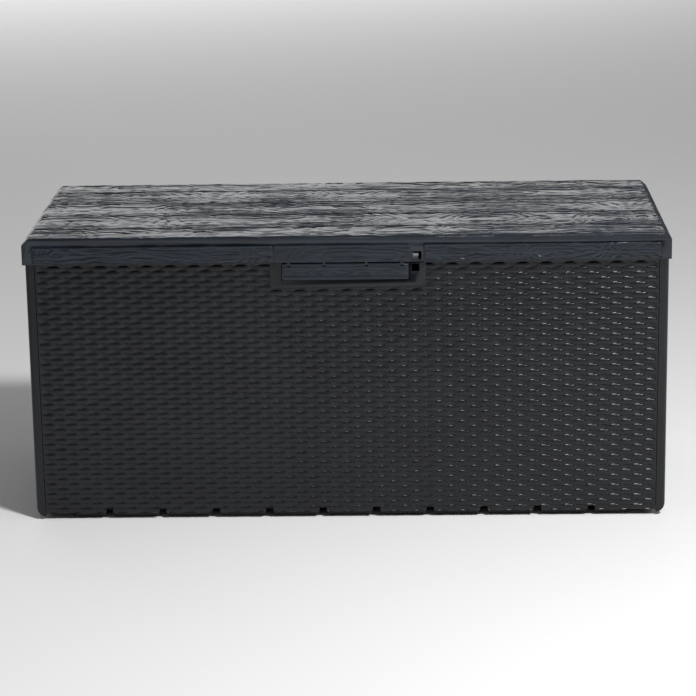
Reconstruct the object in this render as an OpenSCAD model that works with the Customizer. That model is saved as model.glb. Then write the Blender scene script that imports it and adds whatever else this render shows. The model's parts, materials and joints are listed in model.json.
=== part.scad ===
// Deck storage box: a flat-pack resin box with woven-look walls, a planked lid on a rear hinge,
// a pull flap on the lid's front edge and two slotted stays that limit how far the lid opens.
// Frame: origin under the middle of the box on the ground, +X to the right, front face towards -Y.

/* [Overall] */
// Width of the lid, end to end
box_w = 1180; // [1000:10:1440]
// Depth of the lid, front to back
box_d = 506; // [440:2:620]
// Height from the ground to the top of the lid
box_h = 541; // [440:1:660]

/* [Panels] */
// Thickness of the walls' and floor's skins
skin = 3; // [2.5:0.5:4]
// Depth of a wall panel's edge flanges, skin included
panel_depth = 16; // [15:0.5:20]
// How far the walls stand behind the front and rear edges of the lid
panel_set_in = 12; // [10:0.5:16]
// How far each end of the lid overhangs the side panels
end_overhang = 3; // [2:0.5:6]
// Width of the side panels' corner flanges, seen from the front
corner_w = 17; // [16:0.5:24]
// Radius of the upright outer corners
corner_r = 8; // [4:0.5:12]
// Radius of the side panels' lower outer edge
lower_edge_r = 19; // [10:1:30]
// Gap between neighbouring panels
seam = 1; // [0.4:0.1:2]
// Height of the front and back walls' lower edge above the ground
wall_lift = 11.5; // [9:0.5:14]
// Height of the side panels' lower edge above the ground
side_lift = 6; // [3:0.5:9]
// Depth of the inner stiffening ribs on the walls
rib_depth = 8; // [4:0.5:10]
// Thickness of every stiffening rib
rib_t = 3; // [2:0.5:4]
// Number of upright ribs on the front and back walls
wall_ribs = 7; // [3:2:11]

/* [Base] */
// Distance between the drainage channels across the underside
channel_pitch = 100; // [80:5:120]
// Width of a channel at the ground
channel_w_low = 18; // [12:0.5:24]
// Width of a channel at its crown
channel_w_high = 13; // [8:0.5:18]
// Height of a channel's crown, which is the underside of the floor
channel_h = 19.5; // [19:0.5:26]
// Distance from the lid's end to the outermost foot
foot_inset = 73; // [60:1:100]
// Distance from the wall's outer face to the feet
foot_set_back = 15; // [15:0.5:20]

/* [Lid] */
// Thickness of the lid's skin
lid_t = 4; // [3:0.5:5]
// Height of the lid's front and end faces
lid_skirt = 49.5; // [46:0.5:56]
// How far the walls' rim stays below the top of the lid
rim_drop = 26; // [26:0.5:30]
// Gap between the lid's lower edge and the walls' shoulder
lid_gap = 2; // [1.5:0.1:4]
// Width of the bevel along each end of the lid
bevel_w = 13.5; // [6:0.5:20]
// Height of that bevel
bevel_h = 13; // [6:0.5:16]
// Number of planks on the lid
planks = 5; // [3:1:7]
// Distance between the grooves between planks
plank_pitch = 114; // [70:1:130]
// Width of a groove
groove_w = 6; // [2:0.5:8]
// Depth of a groove
groove_d = 2.5; // [1:0.5:3]
// Number of ribs across the underside
lid_ribs = 9; // [5:2:11]

/* [Hinge] */
// Distance from the lid's rear edge to the hinge axis
hinge_inset = 9; // [9:0.1:10]
// Outer radius of the knuckles
knuckle_r = 8; // [7:0.1:8]
// Radius of the hinge rods
rod_r = 4; // [2.5:0.1:5]
// Number of hinge stations
hinge_stations = 5; // [3:2:7]
// Length of the lid's knuckle at each station
lid_knuckle_l = 36; // [20:1:50]
// Length of each of the two wall knuckles at each station
wall_knuckle_l = 24; // [12:1:36]
// Largest opening angle of the lid
lid_open = 100; // [85:1:105]

/* [Stays] */
// Distance from the hinge axis to the stay's lid pivot, and to its wall pin
stay_reach = 165; // [140:1:175]
// Angle between those two lines with the lid shut
stay_shut_angle = 12; // [11:0.5:14]
// Thickness of a stay
stay_t = 4; // [3:0.5:5]
// Half the width of a stay
stay_half_w = 12; // [9:0.5:13]
// Radius of the wall pin that runs in the slot
stay_pin_r = 4; // [3:0.1:5]
// Radius of the pivot stud on the lid
stay_pivot_r = 3; // [2:0.1:4]

/* [Flap and lock] */
// Width of the pull flap
flap_w = 229.5; // [160:0.5:240]
// Height of the flap
flap_h = 31; // [26:0.5:34]
// Thickness of the flap
flap_t = 3.5; // [3:0.5:4]
// Radius of the flap's rolled upper edge
flap_roll_r = 2.6; // [2.4:0.1:3]
// Radius of the wire that the flap turns on
flap_wire_r = 1.2; // [0.8:0.1:1.4]
// Width of the smooth plate on the front wall
plate_w = 284; // [276:1:300]
// Height of the smooth plate, up to the shoulder
plate_h = 48; // [46:1:60]
// How far the plate stands out of the front wall
plate_proud = 4; // [2:0.5:5]
// Side of the square padlock hole in the lid
lid_lock_side = 16; // [10:0.5:18]
// Side of the square padlock hole in the front wall
wall_lock_side = 14; // [8:0.5:16]
// Distance of the padlock holes from the middle of the box
lock_x = 129; // [126:0.5:131]

/* [Hand grips] */
// Width of the hand grip in each side panel
grip_w = 120; // [90:1:140]
// Height of the grip's mouth
grip_h = 40; // [30:1:50]
// Depth of the grip
grip_depth = 20; // [14:0.5:20]
// Height of the undercut behind the grip's upper edge
grip_undercut = 15; // [8:1:24]
// Distance from the shoulder down to the grip's mouth
grip_drop = 66; // [50:1:120]

/* [Fits and fasteners] */
// Radial clearance of a piece that turns or slides
running_fit = 0.06; // [0.02:0.01:0.1]
// Clearance between the flap and the recess around it
flap_gap = 2; // [1:0.1:3]
// Clearance at the lid's seat and between mating faces
seat_gap = 0.3; // [0.2:0.1:1]
// Shank radius of the screws
screw_r = 2; // [1.5:0.1:2.2]
// Head radius of the screws
screw_head_r = 3.7; // [3:0.1:3.8]
// Height of a screw's head
screw_head_h = 2; // [1:0.1:3]
// Width of the steel stiffening tubes under the lid
tube_w = 20; // [14:1:26]
// Height of the steel stiffening tubes
tube_h = 12; // [8:0.5:13]
// Wall of the steel tubes
tube_wall = 1.2; // [0.8:0.1:2]

/* [Hidden] */
$fn = 48;
lid_x = box_w / 2;
lid_y = box_d / 2;
lid_bottom = box_h - lid_skirt;
rim_z = box_h - rim_drop;
shoulder_z = lid_bottom - lid_gap;
wall_x = lid_x - end_overhang;
wall_y = lid_y - panel_set_in;
inner_y = wall_y - panel_depth;
corner_x = wall_x - corner_w;
panel_x = corner_x - seam;
rim_x = lid_x - lid_t - 8;
lid_under = box_h - lid_t;
// Feet and floor
foot_x = lid_x - foot_inset;
foot_y = wall_y - foot_set_back;
channel_half_count = floor((foot_x - 40) / channel_pitch + 0.5);
channels = [for (i = [0 : 2 * channel_half_count - 1]) (i - channel_half_count + 0.5) * channel_pitch];
floor_top = channel_h + skin;
floor_x = corner_x - 0.5;
floor_y = wall_y - skin - 0.5;
ledge_t = 3.7;
ledge_z = channel_h - ledge_t;
// Hinge
axis_y = lid_y - hinge_inset;
axis_z = lid_bottom + hinge_inset - 0.5;
rear_wall_z = axis_z + 12;
back_rim_z = axis_z - knuckle_r - 1.5;
rain_lip_z = rim_z - 2;
station_span = 2 * (panel_x - lid_knuckle_l / 2 - wall_knuckle_l - 8);
stations = [for (i = [0 : hinge_stations - 1]) -station_span / 2 + i * station_span / (hinge_stations - 1)];
knuckle_gap = 1;
rod_out = panel_x - 3;
rod_in = 4;
// Stays: the pivot, the pin and the hinge axis make a triangle with two equal sides, so the stay
// turns on the lid by half of the lid's angle and always points at the pin.
pivot_lift = 3;
pivot_y = axis_y - stay_reach * cos(pivot_lift);
pivot_z = axis_z + stay_reach * sin(pivot_lift);
pin_below = stay_shut_angle - pivot_lift;
pin_y = axis_y - stay_reach * cos(pin_below);
pin_z = axis_z - stay_reach * sin(pin_below);
slot_near = 2 * stay_reach * sin(stay_shut_angle / 2);
slot_far = 2 * stay_reach * sin((stay_shut_angle + lid_open) / 2);
stay_tilt = atan2(pivot_z - pin_z, pin_y - pivot_y);
stay_out = wall_x - 27;
stay_in = stay_out - stay_t;
stud_head_t = 3;
pin_boss_r = 9;
pin_boss_in = stay_out + 2;
bracket_in = stay_out + 2;
bracket_t = 3;
bracket_half_w = 18;
bracket_foot = 20;
// Flap and lock
flap_y = -lid_y + lid_t + 0.4;
flap_z = lid_bottom - flap_gap - flap_roll_r;
flap_low = lid_bottom - flap_gap - flap_h;
flap_lugs = [-flap_w / 2 + 12, -flap_w / 6, flap_w / 6, flap_w / 2 - 12];
lug_w = 5;
plate_x = 3;
plate_low = shoulder_z - plate_h;
plate_y = -wall_y - plate_proud;
flap_x = -1.5;
lid_lock_low = lid_bottom + 3;
wall_lock_x = lock_x - 3;
wall_lock_high = lid_bottom - 6;
lock_bridge_z = lid_bottom + 2;
saddle_t = 1;
saddle_leaf_h = 10;
lid_plate_w = 273;
lid_plate_x = 4.5;
band_low = lid_bottom - 1;
band_high = lid_bottom + 32.5;
band_depth = 0.8;
band_end = 18;
// Hand grips
grip_low = shoulder_z - grip_drop - grip_h;
// Lid ribs and tubes
rib_x = [for (i = [0 : lid_ribs - 1]) (i - (lid_ribs - 1) / 2) * 2 * (stay_in - 16) / (lid_ribs - 1)];
tube_y = [-box_d * 0.22, box_d * 0.22];
tube_z = rim_z + seat_gap;
tube_half_l = rib_x[lid_ribs - 1] + 8;
clip_ribs = [0, (lid_ribs - 1) / 2, lid_ribs - 1];
clip_half_l = tube_w / 2 + 12;
clip_t = 2;
clip_stud_r = 2;
clip_boss_r = 5;
eps = 0.01;

panel_colour = "#303136";
lid_colour = "#4b4e55";
hardware_colour = "#26272a";
steel_colour = "#a9adb2";

// Carries a shape drawn in (y, z) along X, from x0 to x1.
module along_x(x0, x1) {
    translate([x0, 0, 0]) rotate([90, 0, 90]) linear_extrude(x1 - x0) children();
}

// Carries a shape drawn in (x, z) along Y, from y0 to y1.
module along_y(y0, y1) {
    translate([0, y1, 0]) rotate([90, 0, 0]) linear_extrude(y1 - y0) children();
}

// A block between two corners.
module block(low, high) {
    translate(low) cube(high - low);
}

// A round bar along X.
module bar_x(x0, x1, y, z, r) {
    translate([x0, y, z]) rotate([0, 90, 0]) cylinder(h = x1 - x0, r = r);
}

// A rectangle with four round corners.
module soft_rect(x0, y0, x1, y1, r) {
    translate([x0 + r, y0]) square([x1 - x0 - 2 * r, y1 - y0]);
    translate([x0, y0 + r]) square([x1 - x0, y1 - y0 - 2 * r]);
    for (x = [x0 + r, x1 - r], y = [y0 + r, y1 - r]) translate([x, y]) circle(r);
}

// A flat bar with round ends, from (0, 0) to (length, 0).
module round_bar(start, end, half_w) {
    translate([start, -half_w]) square([end - start, 2 * half_w]);
    for (x = [start, end]) translate([x, 0]) circle(half_w);
}

function arc(cx, cy, r, from, to, steps = 8) =
    [for (i = [0 : steps]) let (a = from + (to - from) * i / steps) [cx + r * cos(a), cy + r * sin(a)]];

// The section of one drainage channel, drawn up to `top`.
module channel_section(x, top = channel_h) {
    grow = (channel_w_low - channel_w_high) / 2 / channel_h;
    low_half = channel_w_low / 2 + grow;
    top_half = channel_w_low / 2 - grow * top;
    polygon([[x - low_half, -1], [x + low_half, -1], [x + top_half, top], [x - top_half, top]]);
}

// ---- Base ----

// The feet's outline from the front, set in by `wall` all round.
module feet_section(wall) {
    xs = concat([-foot_x], channels, [foot_x]);
    slope = (channel_w_low - channel_w_high) / 2;
    for (i = [0 : len(xs) - 2]) {
        left_low = xs[i] + (i == 0 ? slope : channel_w_low / 2) + wall;
        right_low = xs[i + 1] - (i == len(xs) - 2 ? slope : channel_w_low / 2) - wall;
        top = wall > 0 ? floor_top + 1 : channel_h + eps;
        polygon([[left_low, wall], [right_low, wall], [right_low + slope, top], [left_low - slope, top]]);
    }
}

module base_panel() {
    color(hardware_colour) difference() {
        union() {
            block([-floor_x, -floor_y, channel_h], [floor_x, floor_y, floor_top]);
            along_y(-foot_y, foot_y) feet_section(0);
        }
        along_y(-foot_y + skin, foot_y - skin) feet_section(skin);
        for (x = screw_xs, s = [-1, 1]) translate([x, s * floor_screw_y, channel_h - 1])
            cylinder(h = skin + 2, r = screw_r + running_fit);
    }
}

// ---- Front and back walls ----

floor_screw_y = wall_y - skin - screw_head_r - 0.8;
screw_xs = [for (i = [-2 : 2]) 2 * i * channel_pitch];
corner_screw_y = wall_y - skin - 4;
corner_screw_zs = [shoulder_z * 0.18, shoulder_z * 0.5, shoulder_z * 0.82];
wall_rib_xs = [for (i = [0 : wall_ribs - 1]) (i - (wall_ribs - 1) / 2) * 2 * panel_x / (wall_ribs + 1)];

// One long wall, drawn for the front: a skin, flanges at its ends, ribs and a ledge for the floor.
module long_wall(top) {
    difference() {
        union() {
            block([-panel_x, -wall_y, wall_lift], [panel_x, -wall_y + skin, top]);
            for (s = [-1, 1]) {
                flange = [min(s * panel_x, s * (panel_x - skin)), max(s * panel_x, s * (panel_x - skin))];
                block([flange[0], -wall_y + skin - eps, floor_top + 1], [flange[1], -inner_y, shoulder_z]);
            }
            for (x = wall_rib_xs)
                block([x - rib_t / 2, -wall_y + skin - eps, floor_top + screw_head_h + 1],
                    [x + rib_t / 2, -wall_y + skin + rib_depth, plate_low - 10]);
            block([-panel_x, -wall_y + skin - eps, ledge_z], [panel_x, -foot_y - 1, ledge_z + ledge_t]);
        }
        along_y(-wall_y - 1, -foot_y) for (x = channels) channel_section(x);
        for (s = [-1, 1], z = corner_screw_zs)
            bar_x(s * panel_x - skin - 1, s * panel_x + skin + 1, -corner_screw_y, z,
                screw_r + running_fit);
        for (x = screw_xs) translate([x, -floor_screw_y, ledge_z - 1])
            cylinder(h = ledge_t + 2, r = screw_r + running_fit);
    }
}

module front_panel() {
    color(panel_colour) difference() {
        union() {
            long_wall(rim_z);
            along_y(plate_y, -wall_y + eps)
                soft_rect(plate_x - plate_w / 2, plate_low, plate_x + plate_w / 2, shoulder_z + 12, 6);
            block([plate_x - plate_w / 2, -wall_y + skin - eps, plate_low - 6],
                [plate_x + plate_w / 2, -wall_y + skin + rib_depth, plate_low - 6 + rib_t]);
        }
        // Recess for the flap, open at the top, and the rim cut down behind the rolled edge.
        block([flap_x - flap_w / 2 - flap_gap, plate_y - 1, flap_low - flap_gap],
            [flap_x + flap_w / 2 + flap_gap, -wall_y, rim_z + 1]);
        // The plate stays under the lid except at its lock hole.
        block([plate_x - plate_w, plate_y - 1, shoulder_z], [plate_x + plate_w, -wall_y, rim_z + 1]);
        block([flap_x - flap_w / 2 - flap_gap, -wall_y - 1, lock_bridge_z],
            [lock_x + lid_lock_side, -wall_y + skin + 1, rim_z + 1]);
        block([wall_lock_x - wall_lock_side / 2, plate_y - 1, wall_lock_high - wall_lock_side],
            [wall_lock_x + wall_lock_side / 2, -wall_y + skin + 1, wall_lock_high]);
    }
}

module back_panel() {
    color(panel_colour) difference() {
        union() {
            rotate([0, 0, 180]) long_wall(back_rim_z);
            block([-panel_x, inner_y - 1, back_rim_z - skin], [panel_x, wall_y, back_rim_z]);
            block([-panel_x, inner_y - 1, back_rim_z - skin], [panel_x, inner_y + rib_t - 1, rain_lip_z]);
            for (x = stations, s = [-1, 1]) {
                mid = x + s * (lid_knuckle_l / 2 + knuckle_gap + wall_knuckle_l / 2);
                bar_x(mid - wall_knuckle_l / 2, mid + wall_knuckle_l / 2, axis_y, axis_z, knuckle_r);
                along_x(mid - wall_knuckle_l / 2, mid + wall_knuckle_l / 2)
                    polygon([[wall_y - skin, back_rim_z - 18], [wall_y, back_rim_z - 18],
                        [axis_y + knuckle_r, axis_z], [axis_y - knuckle_r, axis_z],
                        [axis_y - knuckle_r, back_rim_z - 4]]);
            }
        }
        bar_x(-panel_x - 1, panel_x + 1, axis_y, axis_z, rod_r + running_fit);
    }
}

// ---- Side panels ----

// The right-hand side panel; the left one mirrors it.
module side_panel() {
    difference() {
        union() {
            intersection() {
                linear_extrude(shoulder_z) union() {
                    translate([corner_x, -wall_y]) square([corner_w - corner_r, 2 * wall_y]);
                    translate([corner_x, -wall_y + corner_r]) square([corner_w, 2 * (wall_y - corner_r)]);
                    for (s = [-1, 1]) translate([wall_x - corner_r, s * (wall_y - corner_r)])
                        circle(corner_r);
                }
                along_y(-wall_y - 1, wall_y + 1) polygon(concat(
                    [[corner_x, shoulder_z], [corner_x, side_lift]],
                    arc(wall_x - lower_edge_r, side_lift + lower_edge_r, lower_edge_r, -90, 0),
                    [[wall_x, shoulder_z]]));
            }
            // Stepped rim that the lid's end face passes outside of.
            block([rim_x - skin, -wall_y, shoulder_z - eps], [rim_x, inner_y, rim_z]);
            block([corner_x, -wall_y, shoulder_z - eps], [rim_x, -wall_y + skin, rim_z]);
        }
        // Hollow between the skin and the two corner posts, and inside the posts.
        difference() {
            along_y(-inner_y, inner_y) polygon(concat(
                [[corner_x - 1, shoulder_z - skin], [corner_x - 1, side_lift - 1],
                 [wall_x - lower_edge_r, side_lift - 1]],
                arc(wall_x - lower_edge_r, side_lift + lower_edge_r, lower_edge_r - skin, -90, 0),
                [[wall_x - skin, shoulder_z - skin]]));
            side_ledge();
        }
        for (s = [-1, 1]) mirror([0, s < 0 ? 0 : 1, 0])
            block([corner_x + skin, -wall_y + skin, -1], [wall_x - skin, -inner_y - 4, shoulder_z - skin]);
        for (s = [-1, 1], z = corner_screw_zs)
            bar_x(corner_x - 1, corner_x + skin + 1, s * corner_screw_y, z, screw_r + running_fit);
    }
}

// The shelf that carries the end of the floor, with the wall's own curve on its outer side.
module side_ledge() {
    block([corner_x - 10, -inner_y - 1, ledge_z], [wall_x, inner_y + 1, ledge_z + ledge_t]);
}

module right_side_shape() {
    pocket_top = grip_low + grip_h + grip_undercut;
    difference() {
        union() {
            side_panel();
            block([corner_x - 10, -inner_y + 1, ledge_z], [corner_x + eps, inner_y - 1, ledge_z + ledge_t]);
            block([wall_x - grip_depth - skin, -grip_w / 2 - skin, grip_low - skin],
                [wall_x - skin + eps, grip_w / 2 + skin, pocket_top + skin]);
            bar_x(pin_boss_in, wall_x - skin + eps, pin_y, pin_z, pin_boss_r);
        }
        block([wall_x - grip_depth, -grip_w / 2, grip_low], [wall_x - skin, grip_w / 2, pocket_top]);
        along_x(wall_x - skin - 1, wall_x + 1)
            soft_rect(-grip_w / 2, grip_low, grip_w / 2, grip_low + grip_h, 8);
        bar_x(pin_boss_in - 1, pin_boss_in + 14, pin_y, pin_z, stay_pin_r + running_fit);
    }
}

module right_side_panel() {
    color(panel_colour) right_side_shape();
}

module left_side_panel() {
    color(panel_colour) mirror([1, 0, 0]) right_side_shape();
}

// ---- Fasteners and pins of the box ----

// A pan-head screw along +Z, its head resting on z = 0 and its shank reaching down by `length`.
module screw(length) {
    cylinder(h = screw_head_h, r = screw_head_r);
    translate([0, 0, -length]) cylinder(h = length + eps, r = screw_r);
}

// Screws along X through the end flanges of a long wall at y into the corner posts.
module corner_screws(y) {
    for (s = [-1, 1], z = corner_screw_zs)
        translate([s * (panel_x - skin), y, z]) rotate([0, -s * 90, 0]) screw(skin + seam + skin + 6);
}

module front_corner_screws() {
    color(steel_colour) corner_screws(-corner_screw_y);
}

module back_corner_screws() {
    color(steel_colour) corner_screws(corner_screw_y);
}

module floor_screws() {
    color(steel_colour) for (x = screw_xs, s = [-1, 1])
        translate([x, s * floor_screw_y, floor_top]) screw(floor_top - wall_lift - 0.5);
}

module left_hinge_rod() {
    color(steel_colour) bar_x(-rod_out, -rod_in, axis_y, axis_z, rod_r);
}

module right_hinge_rod() {
    color(steel_colour) bar_x(rod_in, rod_out, axis_y, axis_z, rod_r);
}

// Headed pin that the stay's slot runs on, pressed into the side panel's boss.
module right_pin_shape() {
    bar_x(stay_in - 1 - eps, pin_boss_in + 12, pin_y, pin_z, stay_pin_r);
    bar_x(stay_in - 1 - stud_head_t, stay_in - 1, pin_y, pin_z, stay_pin_r + 3.5);
}

module right_stay_pin() {
    color(hardware_colour) right_pin_shape();
}

module left_stay_pin() {
    color(hardware_colour) mirror([1, 0, 0]) right_pin_shape();
}

// Steel saddle over the bridge between the two padlock holes, where a shackle would bear.
module lock_saddle() {
    half_w = wall_lock_side / 2 - 1.5;
    color(steel_colour) difference() {
        block([wall_lock_x - half_w, plate_y - saddle_t, wall_lock_high + 1],
            [wall_lock_x + half_w, -wall_y + skin + saddle_t, lock_bridge_z + saddle_t]);
        block([wall_lock_x - half_w - 1, plate_y, wall_lock_high],
            [wall_lock_x + half_w + 1, -wall_y + skin, lock_bridge_z]);
        block([wall_lock_x - half_w - 1, plate_y - 2, wall_lock_high],
            [wall_lock_x + half_w + 1, plate_y, lid_bottom + 0.5]);
    }
    // Rear leaf, seen through the lid's lock hole.
    color(steel_colour)
        block([wall_lock_x - half_w, -wall_y + skin, lock_bridge_z],
            [wall_lock_x + half_w, -wall_y + skin + saddle_t, lock_bridge_z + saddle_leaf_h]);
}

// ---- Lid ----

// The lid's outline from the end, drawn in (y, z) and set in by `t`.
module lid_end_section(t) {
    front_r = 4;
    rear_r = 12;
    y = lid_y - t;
    top = box_h - t;
    polygon(concat([[-y, lid_bottom - (t > 0 ? 1 : 0)]],
        arc(-y + front_r, top - front_r, front_r, 180, 90),
        arc(y - rear_r, top - rear_r, rear_r, 90, 0),
        [[y, lid_bottom - (t > 0 ? 1 : 0)]]));
}

// The lid's outline from the front, drawn in (x, z) and set in by `t`.
module lid_front_section(t) {
    x = lid_x - t;
    top = box_h - t;
    low = lid_bottom - (t > 0 ? 1 : 0);
    polygon([[-x, low], [x, low], [x, top - bevel_h], [x - bevel_w, top], [-x + bevel_w, top],
        [-x, top - bevel_h]]);
}

module lid_block(t) {
    intersection() {
        along_x(-lid_x + t, lid_x - t) lid_end_section(t);
        along_y(-lid_y + t, lid_y - t) lid_front_section(t);
    }
}

// The grooves between the planks.
module plank_grooves() {
    for (i = [1 : planks - 1]) {
        y = (i - planks / 2) * plank_pitch;
        block([-lid_x - 1, y - groove_w / 2, box_h - groove_d], [lid_x + 1, y + groove_w / 2, box_h + 1]);
    }
}

// The lid's moulding without its ribs: top, fascia and end faces.
module lid_skin() {
    difference() {
        lid_block(0);
        lid_block(lid_t);
        plank_grooves();
        // The rear face stops above the wall's knuckles.
        block([-lid_x + lid_t, axis_y - 12, lid_bottom - 1], [lid_x - lid_t, lid_y + 1, rear_wall_z]);
        // The rear lower corners are round about the hinge axis, so that they turn clear of the shoulder.
        difference() {
            block([-lid_x - 1, axis_y, lid_bottom - 1], [lid_x + 1, lid_y + 1, axis_z]);
            bar_x(-lid_x - 2, lid_x + 2, axis_y, axis_z, hinge_inset - 0.6);
        }
        // Shallow grained bands on the fascia, either side of the plain middle plate.
        block([-lid_x + band_end, -lid_y - 1, band_low],
            [lid_plate_x - lid_plate_w / 2, -lid_y + band_depth, band_high]);
        block([lid_plate_x + lid_plate_w / 2, -lid_y - 1, band_low],
            [lid_x - band_end, -lid_y + band_depth, band_high]);
    }
}

// Ribs across the underside, which rest on the walls' rim, with notches for the two steel tubes.
module lid_rib_set() {
    difference() {
        union() {
            for (x = concat(rib_x, [-rim_x + skin / 2, rim_x - skin / 2]))
                block([x - rib_t / 2, -lid_y + lid_t - eps, rim_z + seat_gap],
                    [x + rib_t / 2, axis_y - 12, lid_under + 1]);
            for (y = tube_y, i = clip_ribs, s = [-1, 1])
                translate([rib_x[i], y + s * (clip_half_l - 5), rim_z + seat_gap])
                    cylinder(h = lid_under - rim_z, r = clip_boss_r);
        }
        for (y = tube_y) block([-tube_half_l - 1, y - tube_w / 2 - seat_gap, rim_z],
            [tube_half_l + 1, y + tube_w / 2 + seat_gap, tube_z + tube_h + seat_gap]);
        for (y = tube_y, i = clip_ribs, s = [-1, 1])
            translate([rib_x[i], y + s * (clip_half_l - 5), rim_z])
                cylinder(h = 11, r = clip_stud_r + running_fit);
    }
}

module lid_knuckles() {
    for (x = stations) difference() {
        union() {
            bar_x(x - lid_knuckle_l / 2, x + lid_knuckle_l / 2, axis_y, axis_z, knuckle_r);
            along_x(x - lid_knuckle_l / 2, x + lid_knuckle_l / 2)
                polygon([[axis_y - knuckle_r, axis_z], [axis_y + knuckle_r, axis_z],
                    [axis_y + knuckle_r, box_h - 13], [axis_y + 2, lid_under + 1],
                    [axis_y - knuckle_r, lid_under + 1]]);
        }
        bar_x(x - lid_knuckle_l, x + lid_knuckle_l, axis_y, axis_z, rod_r + running_fit);
    }
}

// Small lugs under the fascia that carry the flap's wire.
module flap_lug_set() {
    for (x = flap_lugs) difference() {
        union() {
            bar_x(flap_x + x - lug_w / 2, flap_x + x + lug_w / 2, flap_y, flap_z, flap_roll_r);
            block([flap_x + x - lug_w / 2, flap_y - flap_roll_r, flap_z],
                [flap_x + x + lug_w / 2, flap_y + flap_roll_r, lid_bottom + 6]);
        }
        bar_x(flap_x + x - lug_w, flap_x + x + lug_w, flap_y, flap_z, flap_wire_r + running_fit);
    }
}

module lid_shell() {
    color(lid_colour) difference() {
        union() {
            lid_skin();
            lid_rib_set();
            lid_knuckles();
            flap_lug_set();
        }
        block([lock_x - lid_lock_side / 2, -lid_y - 1, lid_lock_low],
            [lock_x + lid_lock_side / 2, -lid_y + lid_t + 1, lid_lock_low + lid_lock_side]);
        for (s = [-1, 1], y = bracket_screw_ys) translate([s * bracket_screw_x, y, lid_under - 1])
            cylinder(h = 2.5, r = screw_r + running_fit);
    }
}

module lid_tube(y) {
    outer = [tube_half_l, tube_w / 2, tube_h / 2];
    color(steel_colour) translate([0, y, tube_z + tube_h / 2]) difference() {
        block(-outer, outer);
        block([-tube_half_l - 1, -tube_w / 2 + tube_wall, -tube_h / 2 + tube_wall],
            [tube_half_l + 1, tube_w / 2 - tube_wall, tube_h / 2 - tube_wall]);
    }
}

module front_lid_tube() {
    lid_tube(tube_y[0]);
}

module rear_lid_tube() {
    lid_tube(tube_y[1]);
}

// Clips that hold the tubes up, each with two studs pressed into the lid's bosses.
module tube_clips() {
    color(hardware_colour) for (y = tube_y, i = clip_ribs) translate([rib_x[i], y, rim_z + seat_gap]) {
        block([-8, -clip_half_l, -clip_t], [8, clip_half_l, 0]);
        for (s = [-1, 1]) translate([0, s * (clip_half_l - 5), -eps]) cylinder(h = 9, r = clip_stud_r);
    }
}

// ---- Stays ----

bracket_screw_ys = [pivot_y - 11, pivot_y + 11];
bracket_screw_x = bracket_in + bracket_t - bracket_foot + 7;

// Angle bracket under the lid that carries the stay's pivot.
module right_bracket_shape() {
    difference() {
        union() {
            along_x(bracket_in, bracket_in + bracket_t) {
                translate([pivot_y, pivot_z]) circle(stay_half_w);
                translate([pivot_y - stay_half_w, pivot_z])
                    square([2 * stay_half_w, lid_under - 1 - pivot_z]);
            }
            block([bracket_in + bracket_t - bracket_foot, pivot_y - bracket_half_w, lid_under - bracket_t],
                [bracket_in + bracket_t, pivot_y + bracket_half_w, lid_under - eps]);
        }
        bar_x(bracket_in - 1, bracket_in + bracket_t + 1, pivot_y, pivot_z, stay_pivot_r + running_fit);
        for (y = bracket_screw_ys) translate([bracket_screw_x, y, lid_under - bracket_t - 1])
            cylinder(h = bracket_t + 2, r = screw_r + running_fit);
    }
}

module right_stay_bracket() {
    color(hardware_colour) right_bracket_shape();
}

module left_stay_bracket() {
    color(hardware_colour) mirror([1, 0, 0]) right_bracket_shape();
}

module stay_bracket_screws() {
    color(steel_colour) for (s = [-1, 1], y = bracket_screw_ys)
        translate([s * bracket_screw_x, y, lid_under - bracket_t]) rotate([180, 0, 0])
            screw(bracket_t + 1.2);
}

// Riveted stud through the bracket and the stay.
module right_pivot_shape() {
    bar_x(stay_in - 1, bracket_in + bracket_t + eps, pivot_y, pivot_z, stay_pivot_r);
    bar_x(stay_in - 1 - 2, stay_in - 1 + eps, pivot_y, pivot_z, stay_pivot_r + 3);
    bar_x(bracket_in + bracket_t, bracket_in + bracket_t + 2, pivot_y, pivot_z, stay_pivot_r + 3);
}

module right_stay_pivot() {
    color(steel_colour) right_pivot_shape();
}

module left_stay_pivot() {
    color(steel_colour) mirror([1, 0, 0]) right_pivot_shape();
}

// Slotted stay: a round eye on the lid's stud and a slot over the wall's pin.
module right_stay_shape() {
    translate([0, pivot_y, pivot_z]) rotate([-stay_tilt, 0, 0]) along_x(stay_in, stay_out) difference() {
        round_bar(0, slot_far, stay_half_w);
        circle(stay_pivot_r + running_fit);
        round_bar(slot_near, slot_far, stay_pin_r + running_fit);
    }
}

module right_stay() {
    color(hardware_colour) right_stay_shape();
}

module left_stay() {
    color(hardware_colour) mirror([1, 0, 0]) right_stay_shape();
}

// ---- Pull flap ----

module flap_wire() {
    color(steel_colour)
        bar_x(flap_x - flap_w / 2 + 4, flap_x + flap_w / 2 - 4, flap_y, flap_z, flap_wire_r);
}

// Flap with a rolled upper edge, a finger ridge along its foot and gaps for the lid's lugs.
module pull_flap() {
    front = flap_y - flap_roll_r;
    ridge_z = flap_low + 5;
    color(lid_colour) difference() {
        union() {
            bar_x(flap_x - flap_w / 2, flap_x + flap_w / 2, flap_y, flap_z, flap_roll_r);
            along_y(front, front + flap_t)
                soft_rect(flap_x - flap_w / 2, flap_low, flap_x + flap_w / 2, flap_z, 2.5);
            bar_x(flap_x - flap_w / 2 + 3, flap_x + flap_w / 2 - 3, front + 0.8, ridge_z, 1.6);
        }
        for (x = flap_lugs) block([flap_x + x - lug_w / 2 - 0.5, front - 1, flap_z - flap_roll_r - 1],
            [flap_x + x + lug_w / 2 + 0.5, front + 2 * flap_roll_r + 1, flap_z + flap_roll_r + 1]);
        bar_x(flap_x - flap_w / 2 - 1, flap_x + flap_w / 2 + 1, flap_y, flap_z, flap_wire_r + running_fit);
    }
}

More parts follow.
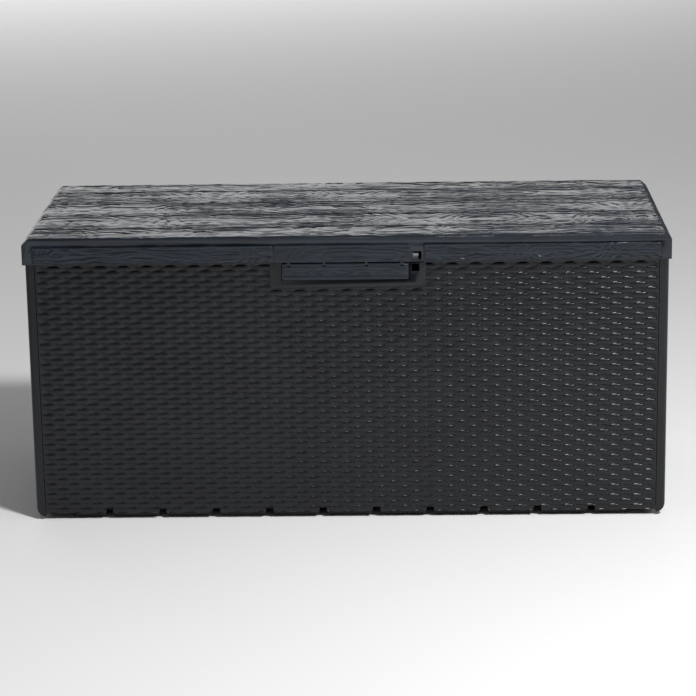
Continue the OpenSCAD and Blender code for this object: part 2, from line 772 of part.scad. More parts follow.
base_panel();
front_panel();
back_panel();
left_side_panel();
right_side_panel();
front_corner_screws();
back_corner_screws();
floor_screws();
left_hinge_rod();
right_hinge_rod();
left_stay_pin();
right_stay_pin();
lock_saddle();
lid_shell();
front_lid_tube();
rear_lid_tube();
tube_clips();
left_stay_bracket();
right_stay_bracket();
stay_bracket_screws();
left_stay_pivot();
right_stay_pivot();
flap_wire();
pull_flap();
left_stay();
right_stay();
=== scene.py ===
import json
import math

import bmesh
import bpy
import numpy as np
from mathutils import Matrix, Vector


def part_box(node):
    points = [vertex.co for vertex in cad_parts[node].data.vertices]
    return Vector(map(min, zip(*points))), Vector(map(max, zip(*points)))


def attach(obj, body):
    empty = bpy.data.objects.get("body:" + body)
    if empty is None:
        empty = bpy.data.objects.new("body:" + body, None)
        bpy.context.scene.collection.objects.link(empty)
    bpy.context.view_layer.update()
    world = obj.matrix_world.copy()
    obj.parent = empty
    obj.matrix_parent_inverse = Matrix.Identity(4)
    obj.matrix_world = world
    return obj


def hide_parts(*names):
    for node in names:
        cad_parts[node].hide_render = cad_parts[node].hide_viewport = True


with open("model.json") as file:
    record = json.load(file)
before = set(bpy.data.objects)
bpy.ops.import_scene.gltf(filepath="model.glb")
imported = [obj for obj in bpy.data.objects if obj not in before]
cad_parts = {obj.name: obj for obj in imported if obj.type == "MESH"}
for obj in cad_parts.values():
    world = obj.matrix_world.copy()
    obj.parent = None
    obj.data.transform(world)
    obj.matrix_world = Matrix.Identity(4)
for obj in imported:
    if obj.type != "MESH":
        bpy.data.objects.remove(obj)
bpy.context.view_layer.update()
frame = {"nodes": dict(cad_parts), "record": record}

MM = 0.001

# ---- Places taken from the frame, in millimetres ----


def corners_mm(node):
    """Lowest and highest corner of a node, in millimetres."""
    low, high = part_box(node)
    return np.array(low) / MM, np.array(high) / MM


LID_X, LID_Y, LID_TOP = corners_mm("lid_shell")[1]
front_low, front_high = corners_mm("front_panel")
flap_low, flap_high = corners_mm("pull_flap")

# The lid's front skirt, the smooth plate that stands proud of the front wall, and the walls' planes
LID_SKIRT = 49.5
LID_BOTTOM = LID_TOP - LID_SKIRT
PLATE_PROUD = 4.0
WALL_Y = -front_low[1] - PLATE_PROUD
WALL_X = corners_mm("right_side_panel")[1][0]
PANEL_X = front_high[0]
WALL_LIFT = front_low[2]
RIM_Z = front_high[2]
BACK_RIM_Z = corners_mm("back_panel")[1][2] - 26.5
# The weave ends at the shoulder, just under the lid
SHOULDER_Z = LID_BOTTOM - 2.0

# Weave of the walls: columns of raised strand ends, each column half a step off its neighbours
WEAVE_COLUMN = 21.4
WEAVE_STEP = 19.3
WEAVE_RISE = 1.2
WEAVE_FOOT = 2.6
STRAND_HALF_WIDTH = 16.0
STRAND_HALF_HEIGHT = 5.5
PANEL_BORDER = 3.0
COLUMN_OFFSETS = [-10.7, -6.3, -4.8, 4.8, 6.3]
WEAVE_DEPTH = WEAVE_RISE + WEAVE_FOOT - 0.15

# Side walls: rounded corner posts, and a hand grip in a plain frame
POST_REACH = 28.0
SIDE_LIFT = 6.0
SIDE_SHEET_LOW = SIDE_LIFT + 4.0
LOWER_RADIUS = 19.0
GRIP_HALF_W = 60.0
GRIP_LOW, GRIP_HIGH = 383.5, 423.5
GRIP_FRAME = 10.0

# Drainage notches along the foot of the front and back walls
NOTCH_PITCH = 100.0
NOTCHES = 10
NOTCH_TOP = 19.5
NOTCH_HALF_LOW = 7.6
NOTCH_HALF_TOP = 6.5

# Smooth plate with the flap's recess and the lower padlock hole
PLATE_LEFT, PLATE_RIGHT, PLATE_FOOT = -139.0, 145.0, 441.5
LOCK_CUT_LEFT, LOCK_CUT_RIGHT = -118.25, 145.0
LOCK_CUT_Z = LID_BOTTOM + 2.0

# Planks of the lid
PLANK_PITCH = 114.0
PLANK_GAP = 6.0
PLANK_LIFT = 3.5
BEVEL_W = 13.5
BEVEL_H = 13.0
GRAIN_PITCH = 13.0
GRAIN_DEPTH = 2.0

# Grained bands on the lid's front: how far they stay off its ends, the plate's edges, and their depth
BAND_END = 18.4
BAND_LEFT_STOP, BAND_RIGHT_STOP = -132.4, 141.4
MIDDLE_BAND_LEFT, MIDDLE_BAND_RIGHT = -130.5, 117.0
BAND_RECESS = 0.8
BAND_PITCH = 8.0


# ---- Meshes ----


def mesh_from_arrays(name, points, faces):
    """A mesh from an (n, 3) array in millimetres and an (m, 4) array of corner numbers."""
    mesh = bpy.data.meshes.new(name)
    mesh.vertices.add(len(points))
    mesh.vertices.foreach_set("co", (points * MM).astype(np.float32).ravel())
    mesh.loops.add(faces.size)
    mesh.loops.foreach_set("vertex_index", faces.astype(np.int32).ravel())
    mesh.polygons.add(len(faces))
    mesh.polygons.foreach_set("loop_start", np.arange(0, faces.size, faces.shape[1], dtype=np.int32))
    mesh.polygons.foreach_set("loop_total", np.full(len(faces), faces.shape[1], dtype=np.int32))
    mesh.update()
    mesh.validate()
    return mesh


def grid_faces(rows, columns, closed=False):
    """Corner numbers of the quads of a rows by columns grid; closed joins the last column to the first."""
    last = columns if closed else columns - 1
    row, column = np.meshgrid(np.arange(rows - 1), np.arange(last), indexing="ij")
    across = (column + 1) % columns
    near, far = row * columns, (row + 1) * columns
    return np.stack([near + column, near + across, far + across, far + column], axis=-1).reshape(-1, 4)


def outward(mesh):
    """Recalculates a closed mesh's normals so that they point out of it."""
    work = bmesh.new()
    work.from_mesh(mesh)
    bmesh.ops.remove_doubles(work, verts=work.verts, dist=1e-6)
    bmesh.ops.recalc_face_normals(work, faces=work.faces)
    work.to_mesh(mesh)
    work.free()
    return mesh


def node_copy(node, move=None):
    """The merged mesh of a CAD node, with move(points in mm) changing where its corners are."""
    work = bmesh.new()
    work.from_mesh(frame["nodes"][node].data)
    bmesh.ops.remove_doubles(work, verts=work.verts, dist=1e-6)
    bmesh.ops.dissolve_limit(work, angle_limit=math.radians(1.0), verts=work.verts, edges=work.edges)
    mesh = bpy.data.meshes.new(node + "_moulding")
    work.to_mesh(mesh)
    work.free()
    if move is not None:
        points = np.empty(len(mesh.vertices) * 3, np.float32)
        mesh.vertices.foreach_get("co", points)
        moved = move(points.reshape(-1, 3).astype(float) / MM) * MM
        mesh.vertices.foreach_set("co", moved.astype(np.float32).ravel())
        mesh.update()
    return mesh


def joined(name, meshes):
    """One object that holds several meshes, with its sharp corners kept sharp."""
    work = bmesh.new()
    for mesh in meshes:
        work.from_mesh(mesh)
    whole = bpy.data.meshes.new(name)
    work.to_mesh(whole)
    work.free()
    for mesh in meshes:
        bpy.data.meshes.remove(mesh)
    whole.shade_smooth()
    whole.set_sharp_from_angle(angle=math.radians(38))
    piece = bpy.data.objects.new(name, whole)
    bpy.context.scene.collection.objects.link(piece)
    return piece


# ---- Noise ----


def value_noise(x, y, seed):
    """Smooth noise in -1 to 1 on plane points: random numbers on a unit lattice, blended by a smooth step."""
    table = np.random.default_rng(seed).uniform(-1.0, 1.0, (64, 64))
    cell_x, cell_y = np.floor(x).astype(int), np.floor(y).astype(int)
    part_x, part_y = x - cell_x, y - cell_y
    blend_x = part_x * part_x * (3 - 2 * part_x)
    blend_y = part_y * part_y * (3 - 2 * part_y)

    def corner(step_x, step_y):
        return table[(cell_x + step_x) % 64, (cell_y + step_y) % 64]

    low = corner(0, 0) * (1 - blend_x) + corner(1, 0) * blend_x
    high = corner(0, 1) * (1 - blend_x) + corner(1, 1) * blend_x
    return low * (1 - blend_y) + high * blend_y


def wood_grain(x, y, seed, pitch=GRAIN_PITCH):
    """Relief of flat-sawn boards, 0 on the crests to -1 in the grooves, along x.

    A board cut beside a tree's heart shows the rings sqrt(y^2 + d^2), where d is the cut's distance
    from the heart. As d rises and falls along the board, the rings close into nested arches. Slow
    noise bends them. Every ring is a groove that falls steeply on one side and rises slowly on the
    other, with finer rings between, and long thin pores break them up.
    """
    heart = 14.0 * value_noise(x / 170.0, 0 * y, seed + 1) + 7.0 * value_noise(x / 60.0, 0 * y, seed + 2)
    cut = 34.0 + 44.0 * value_noise(x / 130.0, 0 * y + 3.0, seed + 3)
    cut = cut + 9.0 * value_noise(x / 38.0, 0 * y + 7.0, seed + 4)
    ring = np.sqrt((y - heart) ** 2 + cut**2) + 3.0 * value_noise(x / 50.0, y / 14.0, seed + 5)
    ring = ring + 1.2 * value_noise(x / 17.0, y / 6.0, seed + 6)
    phase = np.mod(ring / pitch, 1.0)
    groove = np.clip(np.minimum(phase / 0.18, (1 - phase) / 0.5), 0, 1)
    fine = 0.5 + 0.5 * np.cos(2 * math.pi * ring / (pitch * 0.31))
    strength = np.clip(0.6 + 0.6 * value_noise(x / 70.0, y / 11.0, seed + 7), 0, 1)
    pores = np.clip(value_noise(x / 24.0, y / 2.2, seed + 8) - 0.2, 0, 1)
    return -np.clip(strength * (1 - groove) ** 1.3 + 0.22 * fine + 0.45 * pores, 0, 1)


# ---- Woven walls ----


def weave(across, up, column, step):
    """Relief of the woven look, 0 on the strands' crests to -1 in the pockets.

    Column i holds raised strand ends every step, half a step off in odd columns. Each is a cushion:
    a flattened cosine across it, times a flat-topped arch up it. The surface is the highest
    of the nearest cushions and of the round upright stake behind them. Each cushion sits a little
    higher or lower, stands a little more or less proud and leans a little, by chance.
    """
    chances = np.random.default_rng(11).uniform(-1, 1, (3, 64, 64))
    nearest = np.round(across / column)
    surface = np.full(across.shape, 0.0)
    for neighbour in (-1, 0, 1):
        index = nearest + neighbour
        from_middle = across - index * column
        offset = np.where(np.mod(index, 2) == 0, 0.0, step / 2)
        row = np.round((up - offset) / step)
        shift, proud, lean = chances[:, np.mod(index, 64).astype(int), np.mod(row, 64).astype(int)]
        from_crest = up - offset - row * step - 0.15 * shift - 0.01 * lean * from_middle
        swell = np.cos(np.clip(from_middle / STRAND_HALF_WIDTH, -1, 1) * math.pi / 2)
        arch = np.clip(1 - np.abs(from_crest / STRAND_HALF_HEIGHT) ** 4, 0, 1)
        surface = np.maximum(surface, swell**0.4 * np.sqrt(arch) * (0.94 + 0.06 * proud))
        stake = 0.12 * np.sqrt(np.clip(1 - (from_middle / 6.5) ** 2, 0, 1))
        surface = np.maximum(surface, stake)
    return surface - 1


def woven_height(across, up):
    """How far the weave stands off the CAD face, with its steps counted down from the shoulder."""
    return WEAVE_RISE + WEAVE_DEPTH * weave(across, up - SHOULDER_Z, WEAVE_COLUMN, WEAVE_STEP)


def level(height):
    """An edge curve at one height."""
    return lambda across: 0 * across + height


def weave_samples(low, high, unit, offsets):
    """Sample places from low to high, at the same offsets within every unit counted from 0."""
    first, last = math.floor(low / unit) - 1, math.ceil(high / unit) + 1
    places = (np.arange(first, last + 1)[:, None] * unit + np.array(offsets)[None, :]).ravel()
    inside = places[(places > low + 0.3) & (places < high - 0.3)]
    return np.concatenate([[low], inside, [high]])


def step_offsets(step):
    """Places up one step just outside, on and inside the edges of both sets of cushions."""
    edge = STRAND_HALF_HEIGHT
    even = [-edge - 0.4, -edge + 0.6, -edge + 2.2, edge - 2.2, edge - 0.6, edge + 0.4]
    return sorted(np.mod(place, step) for place in even + [place + step / 2 for place in even])


def relief_sheet(name, us, vs, low_edge, high_edge, relief, place, keep=None, depth=WEAVE_FOOT):
    """A moulded face over a plane: columns of points between two edge curves, raised by a relief.

    us are places across and vs places up. Every column is clipped to its own low and high edge, and
    a rim of points on the foot plane closes the sheet onto the flat moulding behind it.
    """
    across, up = np.meshgrid(us, vs, indexing="ij")
    low, high = low_edge(across), high_edge(across)
    clipped = np.clip(up, low, high)
    height = relief(across, clipped)
    across = np.pad(across, 1, mode="edge")
    clipped = np.pad(clipped, 1, mode="edge")
    height = np.pad(height, 1, constant_values=-depth)
    points = place(across, clipped, height)
    rows, columns = across.shape
    faces = grid_faces(rows, columns)
    flat = clipped.ravel()
    foot = height.ravel() <= -depth + 1e-9
    tall = np.ptp(flat[faces], axis=1) > 1e-6
    rim = foot[faces].any(axis=1) & ~foot[faces].all(axis=1)
    middle_u = across.ravel()[faces].mean(axis=1)
    middle_v = flat[faces].mean(axis=1)
    wanted = tall | rim
    if keep is not None:
        wanted &= keep(middle_u, middle_v)
    return mesh_from_arrays(name, points.reshape(-1, 3), faces[wanted][:, ::-1])


def notch_edge(across):
    """Height of a long wall's lower edge: straight, with a sloped notch at every channel."""
    nearest = (np.clip(np.floor(across / NOTCH_PITCH), -NOTCHES / 2, NOTCHES / 2 - 1) + 0.5) * NOTCH_PITCH
    away = np.abs(across - nearest)
    rise = np.clip((NOTCH_HALF_LOW - away) / (NOTCH_HALF_LOW - NOTCH_HALF_TOP), 0, 1)
    return WALL_LIFT + rise * (NOTCH_TOP - WALL_LIFT)


def side_wall(sign):
    """Side panel: the moulding with its face set back between the posts, and the woven face over it.

    Towards the ground the sheet follows the wall's own quarter circle inwards.
    """
    reach = WALL_Y - POST_REACH
    low = SIDE_SHEET_LOW

    def curl(up):
        below = np.clip(SIDE_LIFT + LOWER_RADIUS - up, 0, LOWER_RADIUS)
        return LOWER_RADIUS - np.sqrt(LOWER_RADIUS**2 - below**2)

    def place(across, up, height):
        return np.stack([sign * (WALL_X + height - curl(up)), sign * across, up], axis=-1)

    def relief(across, up):
        woven = woven_height(across, up)
        plain = (np.abs(across) > reach - PANEL_BORDER) | (up > SHOULDER_Z - 4.0) | (up < low + 4.0)
        plain |= grip_distance(across, up) < GRIP_FRAME
        return np.where(plain, 0.0, woven)

    def off_grip(across, up):
        return grip_distance(across, up) > 0

    def move(points):
        on_face = np.abs(points[:, 0] - sign * WALL_X) < 0.02
        inside = (np.abs(points[:, 1]) < reach) & (points[:, 2] > low) & (points[:, 2] < SHOULDER_Z - 1)
        points[on_face & inside, 0] -= sign * WEAVE_FOOT
        return points

    us = weave_samples(-reach, reach, WEAVE_COLUMN, COLUMN_OFFSETS)
    sides = np.array([-1, 1])
    us = np.unique(np.concatenate([us, sides * GRIP_HALF_W, sides * (GRIP_HALF_W + GRIP_FRAME)]))
    vs = weave_samples(low - SHOULDER_Z, -0.4, WEAVE_STEP, step_offsets(WEAVE_STEP)) + SHOULDER_Z
    sheet = relief_sheet("side_weave", us, vs, level(low), level(SHOULDER_Z - 0.4), relief, place, off_grip)
    node = "right_side_panel" if sign > 0 else "left_side_panel"
    return joined("right_side" if sign > 0 else "left_side", [node_copy(node, move), sheet])


def grip_distance(across, up):
    """Distance outside the hand grip's mouth, negative inside it."""
    return np.maximum(np.abs(across) - GRIP_HALF_W, np.maximum(GRIP_LOW - up, up - GRIP_HIGH))


def long_wall_sheets(place, top_edge, cuts=(), keep=None):
    """The woven face of a long wall: a strip around the notches, and the rest above it."""
    border = [-PANEL_X + PANEL_BORDER, PANEL_X - PANEL_BORDER]
    columns = weave_samples(-PANEL_X, PANEL_X, WEAVE_COLUMN, COLUMN_OFFSETS)
    us = np.unique(np.concatenate([columns, border, cuts]))
    centres = (np.arange(NOTCHES) - NOTCHES / 2 + 0.5) * NOTCH_PITCH
    corners = [centres + side * half for side in (-1, 1) for half in (NOTCH_HALF_LOW, NOTCH_HALF_TOP)]
    strip_top = NOTCH_TOP + 1.0
    steps = step_offsets(WEAVE_STEP)
    vs = weave_samples(WALL_LIFT - SHOULDER_Z, RIM_Z - SHOULDER_Z, WEAVE_STEP, steps) + SHOULDER_Z
    strip = relief_sheet(
        "weave_foot", np.unique(np.concatenate([us, *corners])), np.append(vs[vs < strip_top], strip_top),
        notch_edge, level(strip_top), long_wall_relief, place,
    )
    main = relief_sheet(
        "weave", us, np.insert(vs[vs > strip_top], 0, strip_top),
        level(strip_top), top_edge, long_wall_relief, place, keep,
    )
    return [strip, main]


def long_wall_relief(across, up):
    """Weave inside the wall's plain border and below its plain rim."""
    woven = woven_height(across, up)
    plain = (np.abs(across) > PANEL_X - PANEL_BORDER - 0.01) | (up > SHOULDER_Z - 0.5)
    return np.where(plain, 0.0, woven)


def pushed_in(plane, sign, axis):
    """Moves the corners that lie on an outer face back to the foot of its relief."""

    def move(points):
        on_face = np.abs(points[:, axis] - sign * plane) < 0.02
        points[on_face, axis] -= sign * WEAVE_FOOT
        return points

    return move


def front_wall():
    """Front panel: the moulding with its face set back, and the woven face over it."""

    def place(across, up, height):
        return np.stack([across, -WALL_Y - height, up], axis=-1)

    def top_edge(across):
        cut = (across > LOCK_CUT_LEFT) & (across < LOCK_CUT_RIGHT)
        return np.where(cut, LOCK_CUT_Z, RIM_Z)

    def off_plate(across, up):
        return ~((across > PLATE_LEFT + 1) & (across < PLATE_RIGHT - 1) & (up > PLATE_FOOT + 1))

    cuts = [cut + step for cut in (LOCK_CUT_LEFT, LOCK_CUT_RIGHT) for step in (-0.01, 0.01)]
    moulding = node_copy("front_panel", pushed_in(WALL_Y, -1, 1))
    return joined("front_wall", [moulding, *long_wall_sheets(place, top_edge, cuts, off_plate)])


def back_wall():
    """Back panel, woven like the front but with neither plate nor cuts."""

    def place(across, up, height):
        return np.stack([-across, WALL_Y + height, up], axis=-1)

    moulding = node_copy("back_panel", pushed_in(WALL_Y, 1, 1))
    return joined("back_wall", [moulding, *long_wall_sheets(place, level(BACK_RIM_Z))])


# ---- Lid ----


def rounded_fall(inward, radius):
    """Drop of a quarter circle below the flat, at a distance inwards from the edge."""
    return radius - np.sqrt(np.clip(radius**2 - np.clip(radius - inward, 0, None) ** 2, 0, None))


def plank(name, y_front, y_rear, seed, front_round, rear_round):
    """One plank of the lid, a closed slab with grain on top.

    It runs along the lid's front outline: level between the ends, then down a chamfer at each end,
    z = top - h * max(0, t - 0.1 * (1 - exp(-t / 0.1))) with t rising from 0 to 1 over the chamfer's
    width, so that it bends over softly. Across, its top falls by a quarter circle at each long edge,
    and slow noise makes the edges waver.
    """
    path_x = np.linspace(-1, 1, 391) * (LID_X - BEVEL_W)
    over = LID_X - BEVEL_W + BEVEL_W * np.array([0.06, 0.14, 0.25, 0.4, 0.6, 0.8, 0.96])
    path_x = np.concatenate([-over[::-1], path_x, over])
    reach = np.clip((np.abs(path_x) - LID_X + BEVEL_W) / BEVEL_W, 0, 1)
    path_z = LID_TOP - BEVEL_H * (reach - 0.1 * (1 - np.exp(-reach / 0.1)))
    turn = np.arctan(BEVEL_H / BEVEL_W * (1 - np.exp(-reach / 0.1))) * np.sign(path_x)
    normal = np.stack([np.sin(turn), np.cos(turn)], axis=-1)
    width = y_rear - y_front
    edge = np.array([0, 0.2, 0.7, 1.5])
    inner = np.linspace(2.6, width - 2.6, int(width / 1.05))
    across = np.concatenate([edge, inner, width - edge[::-1]])
    s, v = np.meshgrid(path_x, across, indexing="ij")
    waver = 0.55 * value_noise(s / 75.0, 0 * v, seed + 20), 0.55 * value_noise(s / 75.0, 0 * v, seed + 21)
    y = y_front + v + waver[0] * (1 - v / width) + waver[1] * v / width
    fall_front = rounded_fall(v, front_round)
    fall_rear = rounded_fall(width - v, rear_round)
    fade = np.clip(np.minimum(v / front_round, (width - v) / rear_round), 0, 1)
    grain = wood_grain(s, y - (y_front + y_rear) / 2, seed)
    swell = 0.25 * value_noise(s / 120.0, y / 30.0, seed + 22)
    height = GRAIN_DEPTH * grain * fade + swell - fall_front - fall_rear
    thick = PLANK_LIFT + 0.5
    top_z = path_z[:, None] + normal[:, 1:] * height
    top = np.stack([s + normal[:, :1] * height, y, top_z], axis=-1)
    under_x = path_x - normal[:, 0] * thick
    under_z = path_z - normal[:, 1] * thick
    rear = np.stack([under_x, y[:, -1], under_z], axis=-1)[:, None]
    front = np.stack([under_x, y[:, 0], under_z], axis=-1)[:, None]
    rings = np.concatenate([top, rear, front], axis=1)
    rows, columns = rings.shape[:2]
    points = rings.reshape(-1, 3)
    mesh = bpy.data.meshes.new(name)
    faces = grid_faces(rows, columns, closed=True).tolist()
    faces.append(list(range(columns)))
    faces.append(list(range((rows - 1) * columns, rows * columns))[::-1])
    mesh.from_pydata((points * MM).tolist(), [], faces)
    return joined(name, [outward(mesh)])


def lid_planks():
    """Five planks; the outermost ones run on to the lid's front and rear edges."""
    planks = []
    for number in range(5):
        middle = (number - 2) * PLANK_PITCH
        y_front = -LID_Y + 0.15 if number == 0 else middle - (PLANK_PITCH - PLANK_GAP) / 2
        y_rear = LID_Y - 7.0 if number == 4 else middle + (PLANK_PITCH - PLANK_GAP) / 2
        front_round = 4.0 if number == 0 else 1.6
        planks.append(plank(f"lid_plank_{number + 1}", y_front, y_rear, 100 * (number + 1), front_round, 1.6))
    return planks


def grained_sheet(name, x0, x1, z0, z1, y_face, seed, lift, pitch=6.0):
    """A shallow grained panel on a front face, standing lift proud of it."""

    def place(across, up, height):
        return np.stack([across, y_face - height, up], axis=-1)

    def relief(across, up):
        edge = np.minimum(np.minimum(across - x0, x1 - across), np.minimum(up - z0, z1 - up))
        grain = lift * (1 + 0.9 * wood_grain(across, 1.3 * (up - (z0 + z1) / 2), seed, pitch))
        lip = lift * (0.6 + 0.6 * value_noise(across / 30.0, 0 * up, seed + 30))
        lip = lip * np.exp(-(((z1 - 1.5 - up) / 1.1) ** 2))
        return (grain + lip) * np.clip(edge / 0.8, 0.1, 1)

    us = np.linspace(x0, x1, int((x1 - x0) / 2.6) + 2)
    vs = np.linspace(z0, z1, int((z1 - z0) / 0.6) + 2)
    return relief_sheet(name, us, vs, level(z0), level(z1), relief, place, depth=0.1)


def lid_moulding():
    """The lid's shell with its top lowered under the planks, and the grained bands on its front face."""

    def lower_top(points):
        points[:, 2] = np.minimum(points[:, 2], LID_TOP - PLANK_LIFT)
        return points

    band_low, band_high = LID_BOTTOM + 0.2, LID_BOTTOM + 32.1
    recess = -LID_Y + BAND_RECESS
    bands = [
        ("left_band", -LID_X + BAND_END, BAND_LEFT_STOP, recess, 700, 1.5),
        ("right_band", BAND_RIGHT_STOP, LID_X - BAND_END, recess, 720, 1.5),
        ("middle_band", MIDDLE_BAND_LEFT, MIDDLE_BAND_RIGHT, -LID_Y, 740, 0.5),
    ]
    sheets = [
        grained_sheet(name, x0, x1, band_low, band_high, face, seed, lift, BAND_PITCH)
        for name, x0, x1, face, seed, lift in bands
    ]
    return joined("lid_moulding", [node_copy("lid_shell", lower_top), *sheets])


def grained_flap():
    """The pull flap with grain on its face, above the finger ridge and below the lid's lugs."""
    face = flap_high[1] - 5.2
    x0, x1 = flap_low[0] + 1.0, flap_high[0] - 1.0
    z0, z1 = flap_low[2] + 8.0, flap_high[2] - 7.0
    sheet = grained_sheet("flap_grain", x0, x1, z0, z1, face, 760, 0.6, 7.0)
    return joined("grained_flap", [node_copy("pull_flap"), sheet])


# ---- Materials ----


def linear(colour):
    """An sRGB hex colour as linear light, with alpha."""
    parts = [int(colour[i : i + 2], 16) / 255 for i in (1, 3, 5)]
    return [p / 12.92 if p <= 0.04045 else ((p + 0.055) / 1.055) ** 2.4 for p in parts] + [1.0]


def add(tree, kind, settings=None, links=None):
    """Adds a node, sets its values or options by name and links its inputs."""
    node = tree.nodes.new(kind)
    for name, value in (settings or {}).items():
        if name in node.inputs:
            node.inputs[name].default_value = value
        else:
            setattr(node, name, value)
    for name, source in (links or {}).items():
        tree.links.new(source, node.inputs[name])
    return node


def blank_material(name):
    """A material with an empty tree, its surface shader and its object coordinates."""
    material = bpy.data.materials.new(name)
    material.use_nodes = True
    tree = material.node_tree
    tree.nodes.clear()
    shader = add(tree, "ShaderNodeBsdfPrincipled")
    add(tree, "ShaderNodeOutputMaterial", links={"Surface": shader.outputs["BSDF"]})
    coords = add(tree, "ShaderNodeTexCoord").outputs["Object"]
    return material, tree, shader, coords


def mottled(tree, coords, scale, dark, light, stretch=(1, 1, 1)):
    """A colour that drifts between two close shades, stretched along an axis."""
    mapped = add(tree, "ShaderNodeMapping", {"Scale": stretch}, {"Vector": coords}).outputs["Vector"]
    noise = add(tree, "ShaderNodeTexNoise", {"Scale": scale, "Detail": 3.0}, {"Vector": mapped})
    ramp = add(tree, "ShaderNodeValToRGB", links={"Fac": noise.outputs["Fac"]})
    ramp.color_ramp.elements[0].position = 0.35
    ramp.color_ramp.elements[1].position = 0.65
    ramp.color_ramp.elements[0].color = linear(dark)
    ramp.color_ramp.elements[1].color = linear(light)
    return ramp.outputs["Color"]


def fine_relief(tree, shader, coords, grain, strength, distance, detail=2.0):
    """Bump of a fine noise, with its grain and its depth in metres."""
    noise = add(tree, "ShaderNodeTexNoise", {"Scale": 1 / grain, "Detail": detail}, {"Vector": coords})
    bump = add(
        tree, "ShaderNodeBump", {"Strength": strength, "Distance": distance}, {"Height": noise.outputs["Fac"]}
    )
    tree.links.new(bump.outputs["Normal"], shader.inputs["Normal"])


def moulded_polypropylene():
    """Injection-moulded polypropylene with a spark-eroded mould texture: dark, waxy, softly shining."""
    material, tree, shader, coords = blank_material("moulded_polypropylene")
    tree.links.new(mottled(tree, coords, 9.0, "#0a0c11", "#101319"), shader.inputs["Base Color"])
    # Spark erosion leaves a pebble of about 0.4 mm; it is drawn at 0.8 mm to show.
    fine_relief(tree, shader, coords, 0.0008, 0.18, 0.0003)
    shader.inputs["Roughness"].default_value = 0.28
    shader.inputs["IOR"].default_value = 1.49
    shader.inputs["Specular IOR Level"].default_value = 0.42
    return material


def grained_polypropylene():
    """Slate-grey polypropylene from a wood-grained mould: fine long pores break up its sheen."""
    material, tree, shader, coords = blank_material("grained_polypropylene")
    tree.links.new(mottled(tree, coords, 14.0, "#10171f", "#1a232d", (1, 6, 6)), shader.inputs["Base Color"])
    # Pores of the copied wood are about 0.5 mm wide and ten times as long.
    stretched = add(tree, "ShaderNodeMapping", {"Scale": (0.1, 1, 1)}, {"Vector": coords}).outputs["Vector"]
    fine_relief(tree, shader, stretched, 0.0014, 0.45, 0.0005, 3.0)
    shader.inputs["Roughness"].default_value = 0.28
    shader.inputs["IOR"].default_value = 1.49
    return material


def floor_polypropylene():
    """Plain moulded polypropylene of the floor: a little duller and darker than the walls."""
    material, tree, shader, coords = blank_material("floor_polypropylene")
    tree.links.new(mottled(tree, coords, 7.0, "#17181a", "#1d1e20"), shader.inputs["Base Color"])
    fine_relief(tree, shader, coords, 0.001, 0.2, 0.0003)
    shader.inputs["Roughness"].default_value = 0.5
    shader.inputs["IOR"].default_value = 1.49
    return material


def glass_filled_polyamide():
    """Black glass-filled polyamide of stays, clips and pins: matt, with a faint dry bloom."""
    material, tree, shader, coords = blank_material("glass_filled_polyamide")
    tree.links.new(mottled(tree, coords, 60.0, "#131415", "#1a1b1c"), shader.inputs["Base Color"])
    fine_relief(tree, shader, coords, 0.0006, 0.15, 0.0002)
    shader.inputs["Roughness"].default_value = 0.55
    shader.inputs["IOR"].default_value = 1.53
    return material


def zinc_plated_steel():
    """Bright zinc-plated steel: cool grey metal with drawn lines and patchy sheen."""
    material, tree, shader, coords = blank_material("zinc_plated_steel")
    tree.links.new(mottled(tree, coords, 40.0, "#9a9da1", "#b4b7ba"), shader.inputs["Base Color"])
    drawn = add(tree, "ShaderNodeMapping", {"Scale": (0.02, 1, 1)}, {"Vector": coords}).outputs["Vector"]
    lines = add(tree, "ShaderNodeTexNoise", {"Scale": 1 / 0.0008, "Detail": 2.0}, {"Vector": drawn})
    limits = {"To Min": 0.28, "To Max": 0.45}
    spread = add(tree, "ShaderNodeMapRange", limits, {"Value": lines.outputs["Fac"]})
    tree.links.new(spread.outputs["Result"], shader.inputs["Roughness"])
    shader.inputs["Metallic"].default_value = 1.0
    return material


wall_plastic = moulded_polypropylene()
lid_plastic = grained_polypropylene()
SLOT_MATERIALS = {
    "wall_plastic": wall_plastic,
    "lid_plastic": lid_plastic,
    "floor_plastic": floor_polypropylene(),
    "hardware_plastic": glass_filled_polyamide(),
    "zinc_steel": zinc_plated_steel(),
}


def dress_nodes():
    """Gives every CAD node that stays visible the material of its slot."""
    for part in frame["record"]["subparts"]:
        mesh = frame["nodes"][part["node"]].data
        mesh.materials.clear()
        mesh.materials.append(SLOT_MATERIALS[part["material_slot"]])


def finish_piece(piece, body, slot, replaced):
    """Gives a new piece the material of its slot, attaches it to its body and hides the nodes it replaces."""
    piece.data.materials.clear()
    piece.data.materials.append(SLOT_MATERIALS[slot])
    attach(piece, body)
    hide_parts(*replaced)


# ---- Camera, lights and floor ----


FLOOR_SIZE = 28.0


def place_camera():
    """A long lens from slightly above, nearly head on."""
    camera = bpy.data.objects.new("camera", bpy.data.cameras.new("camera"))
    bpy.context.scene.collection.objects.link(camera)
    pitch_down, turn_left, tilt = 0.2583, 0.0240, -0.0157
    place = Matrix.Translation((0.1091, -4.7427, 1.5169))
    aim = Matrix.Rotation(turn_left, 4, "Z") @ Matrix.Rotation(math.pi / 2 - pitch_down, 4, "X")
    camera.matrix_world = place @ aim @ Matrix.Rotation(tilt, 4, "Z")
    camera.data.lens = 131.2
    camera.data.sensor_width = 36.0
    bpy.context.scene.camera = camera


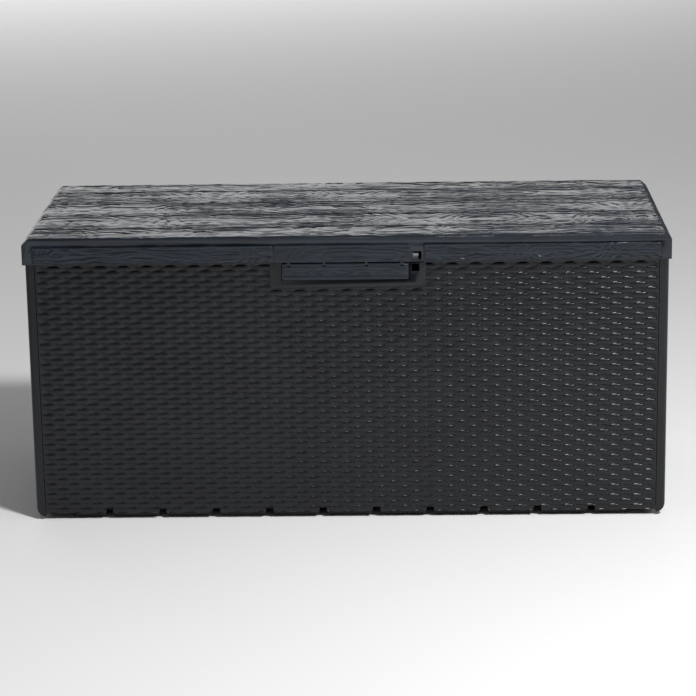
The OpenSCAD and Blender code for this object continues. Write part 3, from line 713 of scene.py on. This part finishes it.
def soft_light(name, place, target, width, height, power):
    """A large rectangular lamp that faces its target."""
    lamp = bpy.data.lights.new(name, "AREA")
    lamp.shape = "RECTANGLE"
    lamp.size = width
    lamp.size_y = height
    lamp.energy = power
    light = bpy.data.objects.new(name, lamp)
    bpy.context.scene.collection.objects.link(light)
    light.location = place
    light.rotation_euler = (Vector(target) - Vector(place)).to_track_quat("-Z", "Y").to_euler()


def studio():
    """A pale floor that runs far past the object, a pale sky and three soft lamps."""
    floor = bpy.data.meshes.new("studio_floor")
    half = FLOOR_SIZE / 2
    square = [(-half, -half, 0), (half, -half, 0), (half, half, 0), (-half, half, 0)]
    floor.from_pydata(square, [], [(0, 1, 2, 3)])
    floor_object = bpy.data.objects.new("studio_floor", floor)
    bpy.context.scene.collection.objects.link(floor_object)
    material, _, shader, _ = blank_material("matt_white_floor")
    shader.inputs["Base Color"].default_value = linear("#fafafa")
    shader.inputs["Roughness"].default_value = 0.9
    floor.materials.append(material)
    world = bpy.data.worlds.new("studio_air")
    world.use_nodes = True
    background = world.node_tree.nodes["Background"]
    background.inputs["Color"].default_value = linear("#ffffff")
    background.inputs["Strength"].default_value = 0.17
    bpy.context.scene.world = world
    bpy.context.scene.view_settings.view_transform = "Standard"
    soft_light("key_lamp", (1.6, -2.1, 3.1), (0.1, -0.2, 0.2), 0.5, 0.5, 125)
    soft_light("back_lamp", (-2.0, 8.5, 2.4), (0, 0, 0.6), 9.0, 4.4, 175)
    soft_light("right_lamp", (3.4, -0.6, 1.4), (0.3, 0, 0.3), 1.2, 1.2, 15)


# ---- The object ----

place_camera()
studio()
dress_nodes()

finish_piece(front_wall(), "box", "wall_plastic", ["front_panel"])
finish_piece(back_wall(), "box", "wall_plastic", ["back_panel"])
for side, panel in ((-1, "left_side_panel"), (1, "right_side_panel")):
    finish_piece(side_wall(side), "box", "wall_plastic", [panel])
finish_piece(lid_moulding(), "lid", "lid_plastic", ["lid_shell"])
for board in lid_planks():
    finish_piece(board, "lid", "lid_plastic", ["lid_shell"])
finish_piece(grained_flap(), "flap", "lid_plastic", ["pull_flap"])
